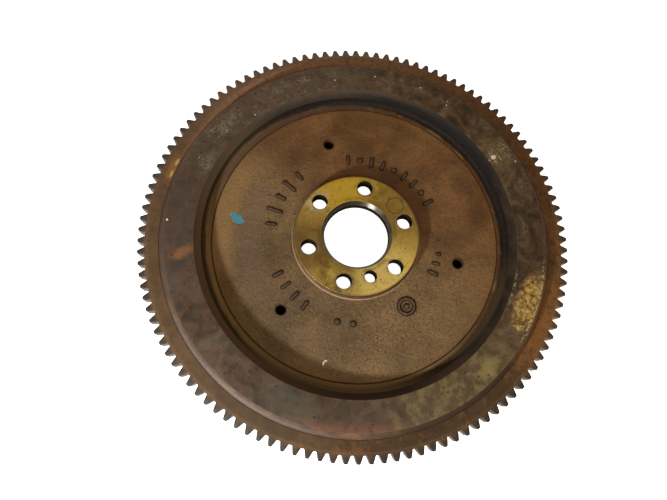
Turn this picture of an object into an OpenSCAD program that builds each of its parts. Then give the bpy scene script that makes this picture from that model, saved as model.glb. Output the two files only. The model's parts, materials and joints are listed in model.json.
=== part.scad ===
// Single-mass flywheel: a cast-iron wheel with a shrunk-on starter ring gear and clutch-cover dowels.
// Origin: centre of the crank mounting face, on the wheel's axis. +Z points towards the crankshaft.
// +X runs through the middle of the lone pair of crank bolt holes. Millimetres.

/* [Starter ring gear] */
// Number of teeth
teeth = 116; // [110:1:124]
// Tooth module
tooth_module = 2.5; // [2.4:0.05:2.7]
// Pressure angle of the teeth
pressure_angle = 20; // [14:1:25]
// Tooth height below the pitch circle, in modules
tooth_dedendum = 1.08; // [1:0.01:1.25]
// Width of the ring along the axis
ring_width = 11; // [9:0.5:13]
// Radial thickness of the ring under the teeth
ring_wall = 9.2; // [8:0.1:11]
// Height of the ring's front face above the crank face
ring_front_z = 1; // [0:0.1:2]
// Drop of the bevel over the front of the teeth
tooth_bevel = 1.1; // [0.5:0.1:2]

/* [Rim] */
// Height of the rim's flat face above the crank face
rim_top_z = 5.4; // [4:0.1:8]
// Width of the rim's flat face
rim_face_w = 19.6; // [15:0.1:22]
// Width of the bevel between the flat face and the ring gear
rim_outer_bevel_w = 3.9; // [2:0.1:5]
// Width of the bevel on the inner edge of the flat face
rim_inner_bevel_w = 4.2; // [2:0.1:5]
// Radius of the hollow corner between the rim and the web
recess_fillet = 5.6; // [4:0.1:6]
// Radial height of the shoulder behind the ring gear, above its seat
shoulder_h = 4.4; // [3:0.1:6]

/* [Web] */
// Depth of the web's floor below the crank face
floor_depth = 5.5; // [4:0.1:6]
// Radius of the circle through the tooling holes
tooling_r = 72.7; // [70:0.1:76]
// Diameter of the tooling holes
tooling_d = 6.8; // [5:0.1:8]
// Depth of the tooling holes
tooling_depth = 12; // [8:0.5:13]
// Angle of the first tooling hole
tooling_angle = -1.75; // [-10:0.25:10]

/* [Crank boss] */
// Radius of the crank face
boss_r = 43; // [42.5:0.1:44]
// How much wider the boss is at its foot
boss_draft = 0.5; // [0.2:0.1:1]
// Diameter of the spigot bore
bore_d = 45; // [40:0.5:46]
// Radial width of the tapered lead-in at the front of the bore
lead_in_w = 1.9; // [1:0.1:2.5]
// Depth of the tapered lead-in
lead_in_d = 3.5; // [1:0.1:4]
// Thickness of the hub under the crank bolts
hub_t = 9; // [8:0.1:10]

/* [Crank holes] */
// Diameter of the circle through the crank bolt holes
crank_pcd = 69; // [67:0.1:70]
// Diameter of the crank bolt holes
crank_hole_d = 10.2; // [8.5:0.1:10.5]
// Half of the angle between neighbouring crank bolt holes in a group
crank_half_step = 29; // [28:0.5:30]
// Radius of the circle on which the crank dowel hole lies
dowel_hole_r = 31; // [30.5:0.1:32]
// Diameter of the crank dowel hole
dowel_hole_d = 8; // [6:0.1:8]
// Angle of the crank dowel hole
dowel_hole_angle = -61; // [-63:0.5:-58]

/* [Clutch side] */
// Depth of the clutch face below the crank face
clutch_depth = 22; // [21:0.1:25]
// Diameter of the circle through the cover bolt holes and cover dowels
cover_pcd = 254; // [252:0.5:254]
// Tapping diameter of the cover bolt holes
cover_hole_d = 6.8; // [6:0.1:7]
// Depth of the cover bolt holes
cover_hole_depth = 16; // [12:0.5:18]
// Outer diameter of the friction face
friction_d = 232; // [228:0.5:234]
// Width of the relief groove around the friction face
relief_w = 3; // [2:0.1:4]
// Depth of the relief groove
relief_d = 1.5; // [0.5:0.1:3]
// Radius of the pocket inside the friction face
pocket_r = 62; // [58:0.5:64]
// Depth of the pocket
pocket_depth = 7.5; // [6:0.1:8]
// Radius of the deeper pocket for the crank bolt heads
head_pocket_r = 48; // [47:0.5:50]

/* [Cover dowels] */
// Diameter of the cover dowels
cover_dowel_d = 8; // [6:0.5:8]
// Length pressed into the casting
cover_dowel_hold = 9; // [7:0.5:11]
// Length that stands clear of the clutch face
cover_dowel_free = 6; // [4:0.5:9]
// Width of the undercut at the clutch face
undercut_w = 0.8; // [0.4:0.1:1.2]
// Depth of the undercut
undercut_d = 0.3; // [0.1:0.1:0.5]

/* [Casting marks] */
// Height of the raised marks above the web's floor
mark_h = 0.8; // [0.4:0.1:1.2]
// Width of a raised bar
mark_w = 1.6; // [1:0.1:2]
// Length of a raised bar
mark_l = 7; // [5:0.5:8]
// Mean radius of the rows of marks
mark_r = 58; // [57:0.5:60]

/* [Hidden] */
$fn = 120;

IRON = [0.37, 0.26, 0.18];
GEAR_STEEL = [0.42, 0.28, 0.16];
DOWEL_STEEL = [0.55, 0.54, 0.52];

pitch_r = teeth * tooth_module / 2;
tip_r = pitch_r + tooth_module;
root_r = pitch_r - tooth_dedendum * tooth_module;
base_r = pitch_r * cos(pressure_angle);
tip_break = 0.12 * tooth_module;

seat_r = root_r - ring_wall;
ring_back_z = ring_front_z - ring_width;
bevel_foot_r = root_r - 1;

rim_outer_r = seat_r - rim_outer_bevel_w;
rim_inner_r = rim_outer_r - rim_face_w;
recess_wall_r = rim_inner_r - rim_inner_bevel_w;
floor_r = recess_wall_r - recess_fillet;
shoulder_r = seat_r + shoulder_h;
edge_break = 0.8;

floor_z = -floor_depth;
groove_w = 0.9;
groove_d = 0.5;
boss_foot_fillet = 1.2;
boss_edge = 0.3;
bore_r = bore_d / 2;

clutch_z = -clutch_depth;
pocket_z = clutch_z + pocket_depth;
hub_back_z = -hub_t;
friction_r = friction_d / 2;
drill_point = 118;
clear = 1;

// Crank bolt holes: four in one group, two opposite, all on one circle.
// Cover dowels stand behind the tooling holes, each midway between two cover bolt holes.
CRANK_ANGLES = [for (k = [-1, 1, -3, 3]) 180 + k * crank_half_step, -crank_half_step, crank_half_step];
TOOLING_ANGLES = [for (i = [0:2]) tooling_angle + i * 120];
COVER_HOLE_ANGLES = [for (i = [0:5]) tooling_angle + 30 + i * 60];

function polar(r, a) = [r * cos(a), r * sin(a)];
function arc(centre, r, a0, a1, n) =
    [for (i = [0:n]) centre + polar(r, a0 + (a1 - a0) * i / n)];

// Half of the angle that a tooth fills at radius r, along its involute flank.
function involute(a) = tan(a) - a * PI / 180;
function tooth_half(r) =
    90 / teeth + (involute(pressure_angle) - involute(acos(base_r / r))) * 180 / PI;
function tooth_points(a) = let (
        mid_r = (root_r + tip_r) / 2,
        shoulder = tip_r - tip_break,
        tip_half = tooth_half(tip_r) - tip_break / tip_r * 180 / PI,
        root_half = tooth_half(root_r)
    ) [
        polar(root_r, a - root_half),
        polar(mid_r, a - tooth_half(mid_r)),
        polar(shoulder, a - tooth_half(shoulder)),
        polar(tip_r, a - tip_half),
        polar(tip_r, a + tip_half),
        polar(shoulder, a + tooth_half(shoulder)),
        polar(mid_r, a + tooth_half(mid_r)),
        polar(root_r, a + root_half),
    ];

module ring_section() {
    polygon([
        [seat_r, ring_front_z],
        [bevel_foot_r, ring_front_z],
        [tip_r, ring_front_z - tooth_bevel],
        [tip_r + clear, ring_front_z - tooth_bevel],
        [tip_r + clear, ring_back_z + tooth_bevel],
        [tip_r, ring_back_z + tooth_bevel],
        [bevel_foot_r, ring_back_z],
        [seat_r, ring_back_z],
    ]);
}

module tooth_outline() {
    polygon([for (i = [0:teeth - 1]) each tooth_points(i * 360 / teeth)]);
}

module starter_ring_gear() {
    color(GEAR_STEEL)
        intersection() {
            rotate_extrude() ring_section();
            translate([0, 0, ring_back_z])
                linear_extrude(ring_width) tooth_outline();
        }
}

// Half of the casting's section, from the bore's lead-in round the rim and back over the clutch side.
module body_section() {
    polygon(concat(
        [[bore_r, -lead_in_d], [bore_r + lead_in_w, 0]],
        [[boss_r - boss_edge, 0], [boss_r, -boss_edge]],
        arc([boss_r + boss_draft + boss_foot_fillet, floor_z + boss_foot_fillet],
            boss_foot_fillet, 180, 270, 4),
        [[floor_r - groove_w, floor_z], [floor_r - groove_w / 2, floor_z - groove_d]],
        arc([floor_r, floor_z + recess_fillet], recess_fillet, 270, 360, 10),
        [[recess_wall_r, ring_front_z], [rim_inner_r, rim_top_z], [rim_outer_r, rim_top_z]],
        [[seat_r, ring_front_z], [seat_r, ring_back_z], [shoulder_r, ring_back_z]],
        [[shoulder_r, clutch_z + edge_break], [shoulder_r - edge_break, clutch_z]],
        [[friction_r + relief_w, clutch_z], [friction_r + relief_w, clutch_z + relief_d]],
        [[friction_r, clutch_z + relief_d], [friction_r, clutch_z]],
        [[pocket_r, clutch_z], [pocket_r, pocket_z]],
        [[head_pocket_r, pocket_z], [head_pocket_r, hub_back_z]],
        [[bore_r + boss_edge, hub_back_z], [bore_r, hub_back_z + boss_edge]]
    ));
}

// A round through hole in the hub.
module hub_hole(d) {
    translate([0, 0, hub_back_z - clear])
        cylinder(d = d, h = hub_t + 2 * clear);
}

// A blind drilling that goes down from z = 0 and ends in the drill's point.
module drilling(d, depth) {
    point = d / 2 / tan(drill_point / 2);
    rotate_extrude()
        polygon([[0, clear], [d / 2, clear], [d / 2, -depth], [0, -depth - point]]);
}

module crank_holes() {
    for (a = CRANK_ANGLES)
        rotate(a) translate([crank_pcd / 2, 0, 0]) hub_hole(crank_hole_d);
    rotate(dowel_hole_angle) translate([dowel_hole_r, 0, 0]) hub_hole(dowel_hole_d);
}

module tooling_holes() {
    for (a = TOOLING_ANGLES)
        rotate(a) translate([tooling_r, 0, floor_z]) drilling(tooling_d, tooling_depth);
}

module clutch_side_holes() {
    for (a = COVER_HOLE_ANGLES)
        rotate(a) translate([cover_pcd / 2, 0, clutch_z])
            mirror([0, 0, 1]) drilling(cover_hole_d, cover_hole_depth);
    for (a = TOOLING_ANGLES)
        rotate(a) translate([cover_pcd / 2, 0, clutch_z - clear])
            cylinder(d = cover_dowel_d, h = cover_dowel_hold + clear);
}

// A raised bar that points outwards, at angle a.
module bar(a, r, length) {
    rotate(a) translate([r - length / 2, -mark_w / 2, floor_z - mark_h])
        cube([length, mark_w, 2 * mark_h]);
}

// A raised round pip.
module pip(a, r, d) {
    rotate(a) translate([r, 0, floor_z - mark_h])
        cylinder(d = d, h = 2 * mark_h);
}

// A raised ring, as a date clock's outline.
module clock_ring(a, r, d) {
    rotate(a) translate([r, 0, floor_z - mark_h])
        difference() {
            cylinder(d = d, h = 2 * mark_h);
            translate([0, 0, -clear]) cylinder(d = d - 2 * mark_w, h = 2 * (mark_h + clear));
        }
}

// Plain bars, pips and a clock ring where a foundry puts its raised marks.
module casting_marks() {
    pip_d = 2 * mark_w;
    for (i = [0:8])
        if (i % 3 == 1) pip(40 + i * 8.5, mark_r, pip_d);
        else bar(40 + i * 8.5, mark_r, mark_l);
    for (i = [0:4]) bar(145 + i * 10, mark_r + 2, mark_l + 4 * (i % 2));
    for (i = [0:3]) bar(220 + i * 9, mark_r + 2, mark_l);
    for (i = [0:1]) pip(270 + i * 10, mark_r + 3, pip_d);
    clock_ring(317, mark_r + 1, 12);
    pip(317, mark_r + 1, pip_d);
    for (i = [0:2]) bar(347 + i * 7, mark_r, mark_l - 2 * i);
}

module flywheel_body() {
    color(IRON)
        difference() {
            union() {
                rotate_extrude() body_section();
                casting_marks();
            }
            crank_holes();
            tooling_holes();
            clutch_side_holes();
        }
}

module cover_dowel(i) {
    r = cover_dowel_d / 2;
    top_z = clutch_z + cover_dowel_hold;
    end_z = clutch_z - cover_dowel_free;
    undercut = [for (side = [1, -1]) clutch_z + side * undercut_w / 2];
    color(DOWEL_STEEL)
        rotate(TOOLING_ANGLES[i]) translate([cover_pcd / 2, 0, 0])
            rotate_extrude()
                polygon([
                    [0, top_z],
                    [r, top_z],
                    [r, undercut[0]],
                    [r - undercut_d, undercut[0]],
                    [r - undercut_d, undercut[1]],
                    [r, undercut[1]],
                    [r, end_z + edge_break],
                    [r - edge_break, end_z],
                    [0, end_z],
                ]);
}

flywheel_body();
starter_ring_gear();
cover_dowel(0);  // cover_dowel_1
cover_dowel(1);  // cover_dowel_2
cover_dowel(2);  // cover_dowel_3
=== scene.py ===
"""A used single-mass flywheel with its starter ring gear: meshes, materials, light and camera.

Blender units are metres. Shapes and textures are worked out in millimetres, in the row frame:
the origin is the centre of the crank face, +Z points towards the crankshaft.
"""
import json
import math
import random

import bmesh
import bpy
from mathutils import Matrix, Vector, noise


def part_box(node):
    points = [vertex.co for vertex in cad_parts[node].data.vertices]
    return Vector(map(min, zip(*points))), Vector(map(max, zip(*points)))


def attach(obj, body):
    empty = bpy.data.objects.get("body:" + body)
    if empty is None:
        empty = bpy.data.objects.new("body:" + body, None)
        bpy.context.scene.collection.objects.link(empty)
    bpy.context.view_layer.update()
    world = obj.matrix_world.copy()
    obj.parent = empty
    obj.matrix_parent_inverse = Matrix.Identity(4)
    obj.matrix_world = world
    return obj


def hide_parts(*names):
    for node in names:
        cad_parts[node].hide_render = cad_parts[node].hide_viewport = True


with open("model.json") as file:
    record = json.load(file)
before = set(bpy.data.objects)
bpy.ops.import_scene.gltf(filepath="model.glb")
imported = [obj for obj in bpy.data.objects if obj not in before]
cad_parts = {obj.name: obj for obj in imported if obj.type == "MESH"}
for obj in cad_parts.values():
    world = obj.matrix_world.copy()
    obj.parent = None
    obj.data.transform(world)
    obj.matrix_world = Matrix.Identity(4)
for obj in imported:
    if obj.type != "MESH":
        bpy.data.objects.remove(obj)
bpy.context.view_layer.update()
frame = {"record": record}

MM = 0.001
RANDOM = random.Random(11)

# ---- sizes, in millimetres

MOUNTS = {m["name"]: m for m in frame["record"]["mounts"]}
BODY_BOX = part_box("flywheel_body")
RING_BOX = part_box("starter_ring_gear")

TEETH = 116
TOOTH_MODULE = 2.5
TIP_R = RING_BOX[1].x / MM
PITCH_R = TEETH * TOOTH_MODULE / 2
ROOT_R = PITCH_R - 1.08 * TOOTH_MODULE
PRESSURE_ANGLE = math.radians(20)
SEAT_R = ROOT_R - 9.2
RING_FRONT_Z = RING_BOX[1].z / MM
RING_BACK_Z = RING_BOX[0].z / MM
BEVEL_FOOT_R = ROOT_R - 1
TOOTH_BEVEL = 1.1
TOOTH_WEAR = 0.16

SHOULDER_R = SEAT_R + 4.4
RIM_TOP_Z = BODY_BOX[1].z / MM
RIM_OUTER_R = SEAT_R - 3.9
RIM_INNER_R = RIM_OUTER_R - 19.6
WALL_R = RIM_INNER_R - 4.2
RECESS_FILLET = 5.6
FLOOR_R = WALL_R - RECESS_FILLET
FLOOR_Z = -5.5
GROOVE_W, GROOVE_D = 0.9, 0.5

BOSS_R = 43
BOSS_FOOT_R = BOSS_R + 0.5
BOSS_FILLET = 1.8
BORE_R = MOUNTS["crank_spigot_bore"]["dims"]["r_mm"]
LEAD_IN_W, LEAD_IN_D = 1.9, 3.5
HUB_BACK_Z = -9

CLUTCH_Z = MOUNTS["friction_face"]["pos_m"][2] / MM
FRICTION_R = 116
RELIEF_W, RELIEF_D = 3, 1.5
POCKET_R, POCKET_Z = 62, CLUTCH_Z + 7.5
HEAD_POCKET_R = 48

CRANK_BOLT_R, CRANK_BOLT_HOLE_R = 34.5, 5.1
CRANK_BOLT_ANGLES = (-29, 29, 93, 151, 209, 267)
CRANK_DOWEL_R, CRANK_DOWEL_ANGLE = 31, -61
DOWEL_HOLE_R, DOWEL_HOLE_DEPTH = 4.0, 9.2
TOOLING_R = MOUNTS["tooling_holes"]["dims"]["pcd_mm"] / 2
TOOLING_HOLE_R, TOOLING_DEPTH = 3.4, 12
COVER_R = MOUNTS["cover_bolt_holes"]["dims"]["pcd_mm"] / 2
FIRST_TOOLING_ANGLE = -1.75
TOOLING_ANGLES = [FIRST_TOOLING_ANGLE + 120 * i for i in range(3)]
COVER_ANGLES = [FIRST_TOOLING_ANGLE + 30 + 60 * i for i in range(6)]
THREAD_R, THREAD_CORE_R, THREAD_PITCH, THREAD_DEPTH = 4.0, 3.4, 1.25, 16

MARK_W = 1.6
# over the side of a raised mark, from below the web to its flat top: (offset from the edge, height)
MARK_SECTION = (
    (1.4, -0.8), (1.4, -0.35), (1.1, -0.03), (0.7, 0.12),
    (0.34, 0.32), (0.1, 0.56), (-0.1, 0.74), (-0.3, 0.8),
)
STEPS_ROUND = 360
WHEEL_TURN = 9.4


# ---- outlines

def polar(radius, degrees):
    """The point at that radius and angle, as (x, y)."""
    a = math.radians(degrees)
    return radius * math.cos(a), radius * math.sin(a)


def at(degrees):
    """A direction on the wheel as seen from the front, 90 at the top, as a row-frame angle."""
    return degrees + WHEEL_TURN


def rounded(corners, steps):
    """An outline from corners (x, y, radius[, tag]); each corner with a radius becomes an arc.

    The tag of a corner names the stretch that starts there. Returns [(x, y, tag)].
    """
    points = []
    tag = corners[-1][3] if len(corners[-1]) > 3 else None
    for i, corner in enumerate(corners):
        here = Vector(corner[:2])
        before = Vector(corners[i - 1][:2]) - here
        after = Vector(corners[(i + 1) % len(corners)][:2]) - here
        next_tag = corner[3] if len(corner) > 3 else tag
        radius = corner[2]
        if not radius:
            points.append((here.x, here.y, next_tag))
            tag = next_tag
            continue
        half = before.angle(after) / 2
        reach = min(radius / math.tan(half), before.length * 0.48, after.length * 0.48)
        radius = reach * math.tan(half)
        middle = here + (before.normalized() + after.normalized()).normalized() * radius / math.sin(half)
        start = here + before.normalized() * reach - middle
        end = here + after.normalized() * reach - middle
        turn = start.angle_signed(end)
        for k in range(steps + 1):
            p = middle + Matrix.Rotation(-turn * k / steps, 2) @ start
            points.append((p.x, p.y, tag if k < steps / 2 else next_tag))
        tag = next_tag
    return points


def divided(points, longest):
    """The outline again, with long stretches cut into steps of at most longest[tag]."""
    result = []
    for (x, y, tag), (x1, y1, _) in zip(points, points[1:] + points[:1]):
        pieces = max(1, math.ceil(math.hypot(x1 - x, y1 - y) / longest.get(tag, 1e9)))
        result += [(x + (x1 - x) * k / pieces, y + (y1 - y) * k / pieces, tag) for k in range(pieces)]
    return result


# ---- meshes, as (vertices, faces, one tag for each face)

def skin(rings, count, closed):
    """Quads between rings of count points each; closed joins the last ring to the first as well."""
    faces = []
    for j in range(rings if closed else rings - 1):
        a, b = j * count, (j + 1) % rings * count
        for k in range(count):
            n = (k + 1) % count
            faces.append((a + k, a + n, b + n, b + k))
    return faces


def lathe(outline, steps, centre=(0, 0)):
    """Turns a closed outline [(r, z, tag)] round the vertical axis through centre."""
    vertices = []
    for k in range(steps):
        x, y = polar(1, 360 * k / steps)
        vertices += [(centre[0] + r * x, centre[1] + r * y, z) for r, z, _ in outline]
    return vertices, skin(steps, len(outline), True), [tag for _, _, tag in outline] * steps


def capped(rings, tag):
    """A closed mesh over rings of points, with a flat cap on the first and the last."""
    count = len(rings[0])
    vertices = [point for ring in rings for point in ring]
    ends = [tuple(range(count)), tuple(range(len(vertices) - count, len(vertices)))]
    faces = skin(len(rings), count, False) + ends
    return vertices, faces, [tag] * len(faces)


def capped_lathe(outline, steps, centre, tag):
    """Turns an open outline [(r, z)] round the vertical axis through centre and closes its ends."""
    rings = []
    for r, z in outline:
        circle = [polar(r, 360 * k / steps) for k in range(steps)]
        rings.append([(centre[0] + x, centre[1] + y, z) for x, y in circle])
    return capped(rings, tag)


def merged(parts):
    """One mesh from several."""
    vertices, faces, tags = [], [], []
    for v, f, t in parts:
        base = len(vertices)
        vertices += v
        faces += [tuple(i + base for i in face) for face in f]
        tags += t
    return vertices, faces, tags


def new_object(name, mesh, materials, smooth_angle=35):
    """A smooth-shaded object from a mesh in millimetres; materials has one for each tag."""
    vertices, faces, tags = mesh
    data = bpy.data.meshes.new(name)
    data.from_pydata([Vector(v) * MM for v in vertices], [], faces)
    for material in materials.values():
        data.materials.append(material)
    order = list(materials)
    data.polygons.foreach_set("material_index", [order.index(tag) for tag in tags])
    data.polygons.foreach_set("use_smooth", [True] * len(data.polygons))
    data.set_sharp_from_angle(angle=math.radians(smooth_angle))
    data.update()
    obj = bpy.data.objects.new(name, data)
    bpy.context.scene.collection.objects.link(obj)
    return obj


def outward(obj):
    """Turns every face of a closed mesh outwards."""
    bm = bmesh.new()
    bm.from_mesh(obj.data)
    bmesh.ops.recalc_face_normals(bm, faces=bm.faces)
    bm.to_mesh(obj.data)
    bm.free()
    return obj


def combine(target, tool, operation):
    """Cuts tool out of target, or joins it on, and removes tool."""
    outward(tool)
    modifier = target.modifiers.new("combine", "BOOLEAN")
    modifier.operation = operation
    modifier.solver = "MANIFOLD"
    modifier.object = tool
    depsgraph = bpy.context.evaluated_depsgraph_get()
    result = bpy.data.meshes.new_from_object(target.evaluated_get(depsgraph))
    target.modifiers.clear()
    old, target.data = target.data, result
    result.name = old.name
    bpy.data.meshes.remove(old)
    bpy.data.objects.remove(tool)


def rgb(r, g, b):
    """A colour given as 0-255 display values, as linear RGBA."""
    def linear(c):
        c /= 255
        return c / 12.92 if c <= 0.04045 else ((c + 0.055) / 1.055) ** 2.4
    return linear(r), linear(g), linear(b), 1.0


class Shade:
    """One material's nodes, built up by short calls. Any input takes a number, a colour or a socket."""

    def __init__(self, name):
        self.material = bpy.data.materials.new(name)
        self.material.use_nodes = True
        self.nodes = self.material.node_tree.nodes
        self.links = self.material.node_tree.links
        self.nodes.clear()
        metres = self.node("TexCoord").outputs["Object"]
        self.point = self.vector("SCALE", metres, scale=1 / MM)
        x, y, self.z = self.node("SeparateXYZ", {0: self.point}).outputs
        flat = self.node("CombineXYZ", {0: x, 1: y}).outputs[0]
        self.radius = self.vector("LENGTH", flat)
        self.direction = self.vector("NORMALIZE", flat)
        self.colour = self.bumps = None

    def node(self, kind, inputs=None, **settings):
        made = self.nodes.new("ShaderNode" + kind)
        for key, value in settings.items():
            setattr(made, key, value)
        for key, value in (inputs or {}).items():
            self.put(made.inputs[key], value)
        return made

    def put(self, socket, value):
        if isinstance(value, bpy.types.NodeSocket):
            self.links.new(value, socket)
        else:
            socket.default_value = value

    def vector(self, operation, a, b=None, scale=None):
        made = self.node("VectorMath", {0: a}, operation=operation)
        if b is not None:
            self.put(made.inputs[1], b)
        if scale is not None:
            self.put(made.inputs["Scale"], scale)
        single = operation in ("LENGTH", "DOT_PRODUCT", "DISTANCE")
        return made.outputs["Value" if single else "Vector"]

    def math(self, operation, a, b=0.0):
        return self.node("Math", {0: a, 1: b}, operation=operation).outputs[0]

    def add(self, a, b):
        return self.math("ADD", a, b)

    def times(self, a, b):
        return self.math("MULTIPLY", a, b)

    def most(self, a, b):
        return self.math("MAXIMUM", a, b)

    def invert(self, a):
        return self.math("SUBTRACT", 1.0, a)

    def sway(self, value, reach):
        """A noise from 0 to 1 as a number on both sides of 0, reach wide in all."""
        return self.times(self.add(value, -0.5), reach)

    def smooth(self, value, low, high, to_low=0.0, to_high=1.0):
        """Goes smoothly from to_low to to_high as value goes from low to high."""
        if high < low:
            low, high, to_low, to_high = high, low, to_high, to_low
        return self.node(
            "MapRange",
            {"Value": value, "From Min": low, "From Max": high, "To Min": to_low, "To Max": to_high},
            interpolation_type="SMOOTHSTEP",
        ).outputs[0]

    def band(self, value, low, high, soft):
        """1 between low and high, fading out over soft on both sides."""
        rise = self.smooth(value, low - soft, low + soft)
        return self.times(rise, self.smooth(value, high + soft, high - soft))

    def blend(self, amount, a, b):
        """A number between a and b."""
        return self.node("Mix", {0: amount, 2: a, 3: b}, data_type="FLOAT").outputs[0]

    def mix(self, amount, a, b):
        """A colour between a and b."""
        return self.node("Mix", {0: amount, 6: a, 7: b}, data_type="RGBA").outputs[2]

    def mixed(self, base, mask, strength, colour):
        """The base colour with another, (r, g, b) or a socket, laid over it where mask is 1."""
        top = rgb(*colour) if isinstance(colour, tuple) else colour
        return self.mix(self.times(mask, strength), base, top)

    def over(self, mask, strength, colour):
        """Lays a colour over what the material has so far."""
        self.colour = self.mixed(self.colour, mask, strength, colour)

    def tint(self, sector, strength, colour):
        """Lays a colour over the sector (degrees, half_width, soft[, ragged, seed])."""
        self.over(self.sector(*sector), strength, colour)

    def ramp(self, value, *stops):
        """A colour from stops of (position, r, g, b)."""
        made = self.node("ValToRGB", {0: value})
        elements = made.color_ramp.elements
        while len(elements) < len(stops):
            elements.new(0.5)
        for element, (position, *colour) in zip(elements, stops):
            element.position = position
            element.color = rgb(*colour)
        return made.outputs[0]

    def noise(self, size, seed=0, detail=4.0, rough=0.55, distort=0.0, place=None):
        """Cloudy noise from 0 to 1 with features of that size in millimetres."""
        place = self.vector("ADD", place or self.point, (seed * 17.3, seed * 5.7, seed * 11.9))
        return self.node("TexNoise", {
            "Vector": place, "Scale": 1 / size, "Detail": detail, "Roughness": rough, "Distortion": distort,
        }).outputs[0]

    def cells(self, size, seed):
        """Voronoi cells: (distance to the nearest centre as a part of size, a random number per cell)."""
        place = self.vector("ADD", self.point, (seed * 7.1, seed * 3.3, seed * 9.7))
        made = self.node("TexVoronoi", {"Vector": place, "Scale": 1 / size})
        return made.outputs["Distance"], self.node("SeparateColor", {0: made.outputs["Color"]}).outputs[0]

    def specks(self, size, share, seed):
        """Small round-ish specks in that share of the cells."""
        distance, chance = self.cells(size, seed)
        wobble = self.sway(self.noise(size * 0.35, seed + 1, detail=2), 0.3)
        near = self.smooth(self.add(distance, wobble), 0.34, 0.22)
        return self.times(near, self.math("LESS_THAN", chance, share))

    def turned(self, pitch, seed, stretch=3.0, detail=3.0):
        """Fine rings around the axis, as a lathe tool leaves, wandering a little along their way."""
        along = self.vector("SCALE", self.direction, scale=stretch)
        rise = self.node("CombineXYZ", {2: self.times(self.add(self.radius, self.z), 1 / pitch)}).outputs[0]
        return self.noise(1.0, seed, detail=detail, rough=0.6, place=self.vector("ADD", along, rise))

    def sector(self, degrees, half_width, soft, ragged=0.0, seed=0):
        """1 in the sector around that direction on the wheel, fading out over soft degrees."""
        value = self.vector("DOT_PRODUCT", self.direction, (*polar(1, at(degrees)), 0))
        if ragged:
            value = self.add(value, self.sway(self.noise(14, seed, detail=5, rough=0.65), ragged))
        outside, _ = polar(1, min(half_width + soft, 179))
        inside, _ = polar(1, max(half_width - soft, 0))
        return self.smooth(value, outside, inside)

    def blot(self, radius, degrees, half_r, half_t, soft, ragged, seed, size=None, tilt=0):
        """A spot at that radius and angle, half_r by half_t millimetres, with a ragged edge."""
        offset = self.vector("SUBTRACT", self.point, (*polar(radius, at(degrees)), 0))
        c, s = polar(1, at(degrees) + tilt)
        u = self.times(self.vector("DOT_PRODUCT", offset, (c, s, 0)), 1 / half_r)
        v = self.times(self.vector("DOT_PRODUCT", offset, (-s, c, 0)), 1 / half_t)
        reach = self.math("SQRT", self.add(self.times(u, u), self.times(v, v)))
        rough = self.noise(size or min(half_r, half_t) * 0.8, seed, detail=5, rough=0.65)
        return self.smooth(self.add(reach, self.sway(rough, ragged * 2)), 1 + soft, 1 - soft)

    def near_holes(self, radius, angles, reach, hole_r):
        """1 at the rims of round holes, fading out over reach millimetres."""
        total = 0.0
        for a in angles:
            offset = self.vector("SUBTRACT", self.point, (*polar(radius, a), 0))
            flat = self.vector("MULTIPLY", offset, (1, 1, 0))
            total = self.most(total, self.smooth(self.vector("LENGTH", flat), hole_r + reach, hole_r))
        return total

    def occlusion_shade(self, distance):
        """A painted-shade mask: 1 in corners that are closed in within that distance in millimetres, 0 in the
        open.
        """
        made = self.node("AmbientOcclusion", {"Distance": distance * MM}, samples=8, only_local=True)
        return self.invert(made.outputs["AO"])

    def edges(self, radius):
        """1 on sharp edges, from the difference between the rounded and the true normal."""
        soft = self.node("Bevel", {"Radius": radius * MM}, samples=6).outputs[0]
        true = self.node("NewGeometry").outputs["Normal"]
        return self.smooth(self.vector("DOT_PRODUCT", soft, true), 0.995, 0.86)

    def bump(self, height, depth):
        """Adds relief: height 0 to 1 becomes depth millimetres."""
        made = self.node("Bump", {"Height": height, "Distance": depth * MM, "Strength": 1.0})
        if self.bumps is not None:
            self.put(made.inputs["Normal"], self.bumps)
        self.bumps = made.outputs[0]

    def done(self, roughness, metallic=0.0, specular=0.5, anisotropic=0.0):
        """Ends the material; anisotropic spreads the gloss as fine rings around the axis do."""
        shader = self.node("BsdfPrincipled", {
            "Base Color": self.colour, "Roughness": roughness,
            "Metallic": metallic, "Specular IOR Level": specular,
        })
        if anisotropic:
            shader.inputs["Anisotropic"].default_value = anisotropic
            tangent = self.node("Tangent", direction_type="RADIAL", axis="Z")
            self.put(shader.inputs["Tangent"], tangent.outputs[0])
        if self.bumps is not None:
            self.put(shader.inputs["Normal"], self.bumps)
        self.node("OutputMaterial", {0: shader.outputs[0]})
        return self.material


# ---- materials: the casting

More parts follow.
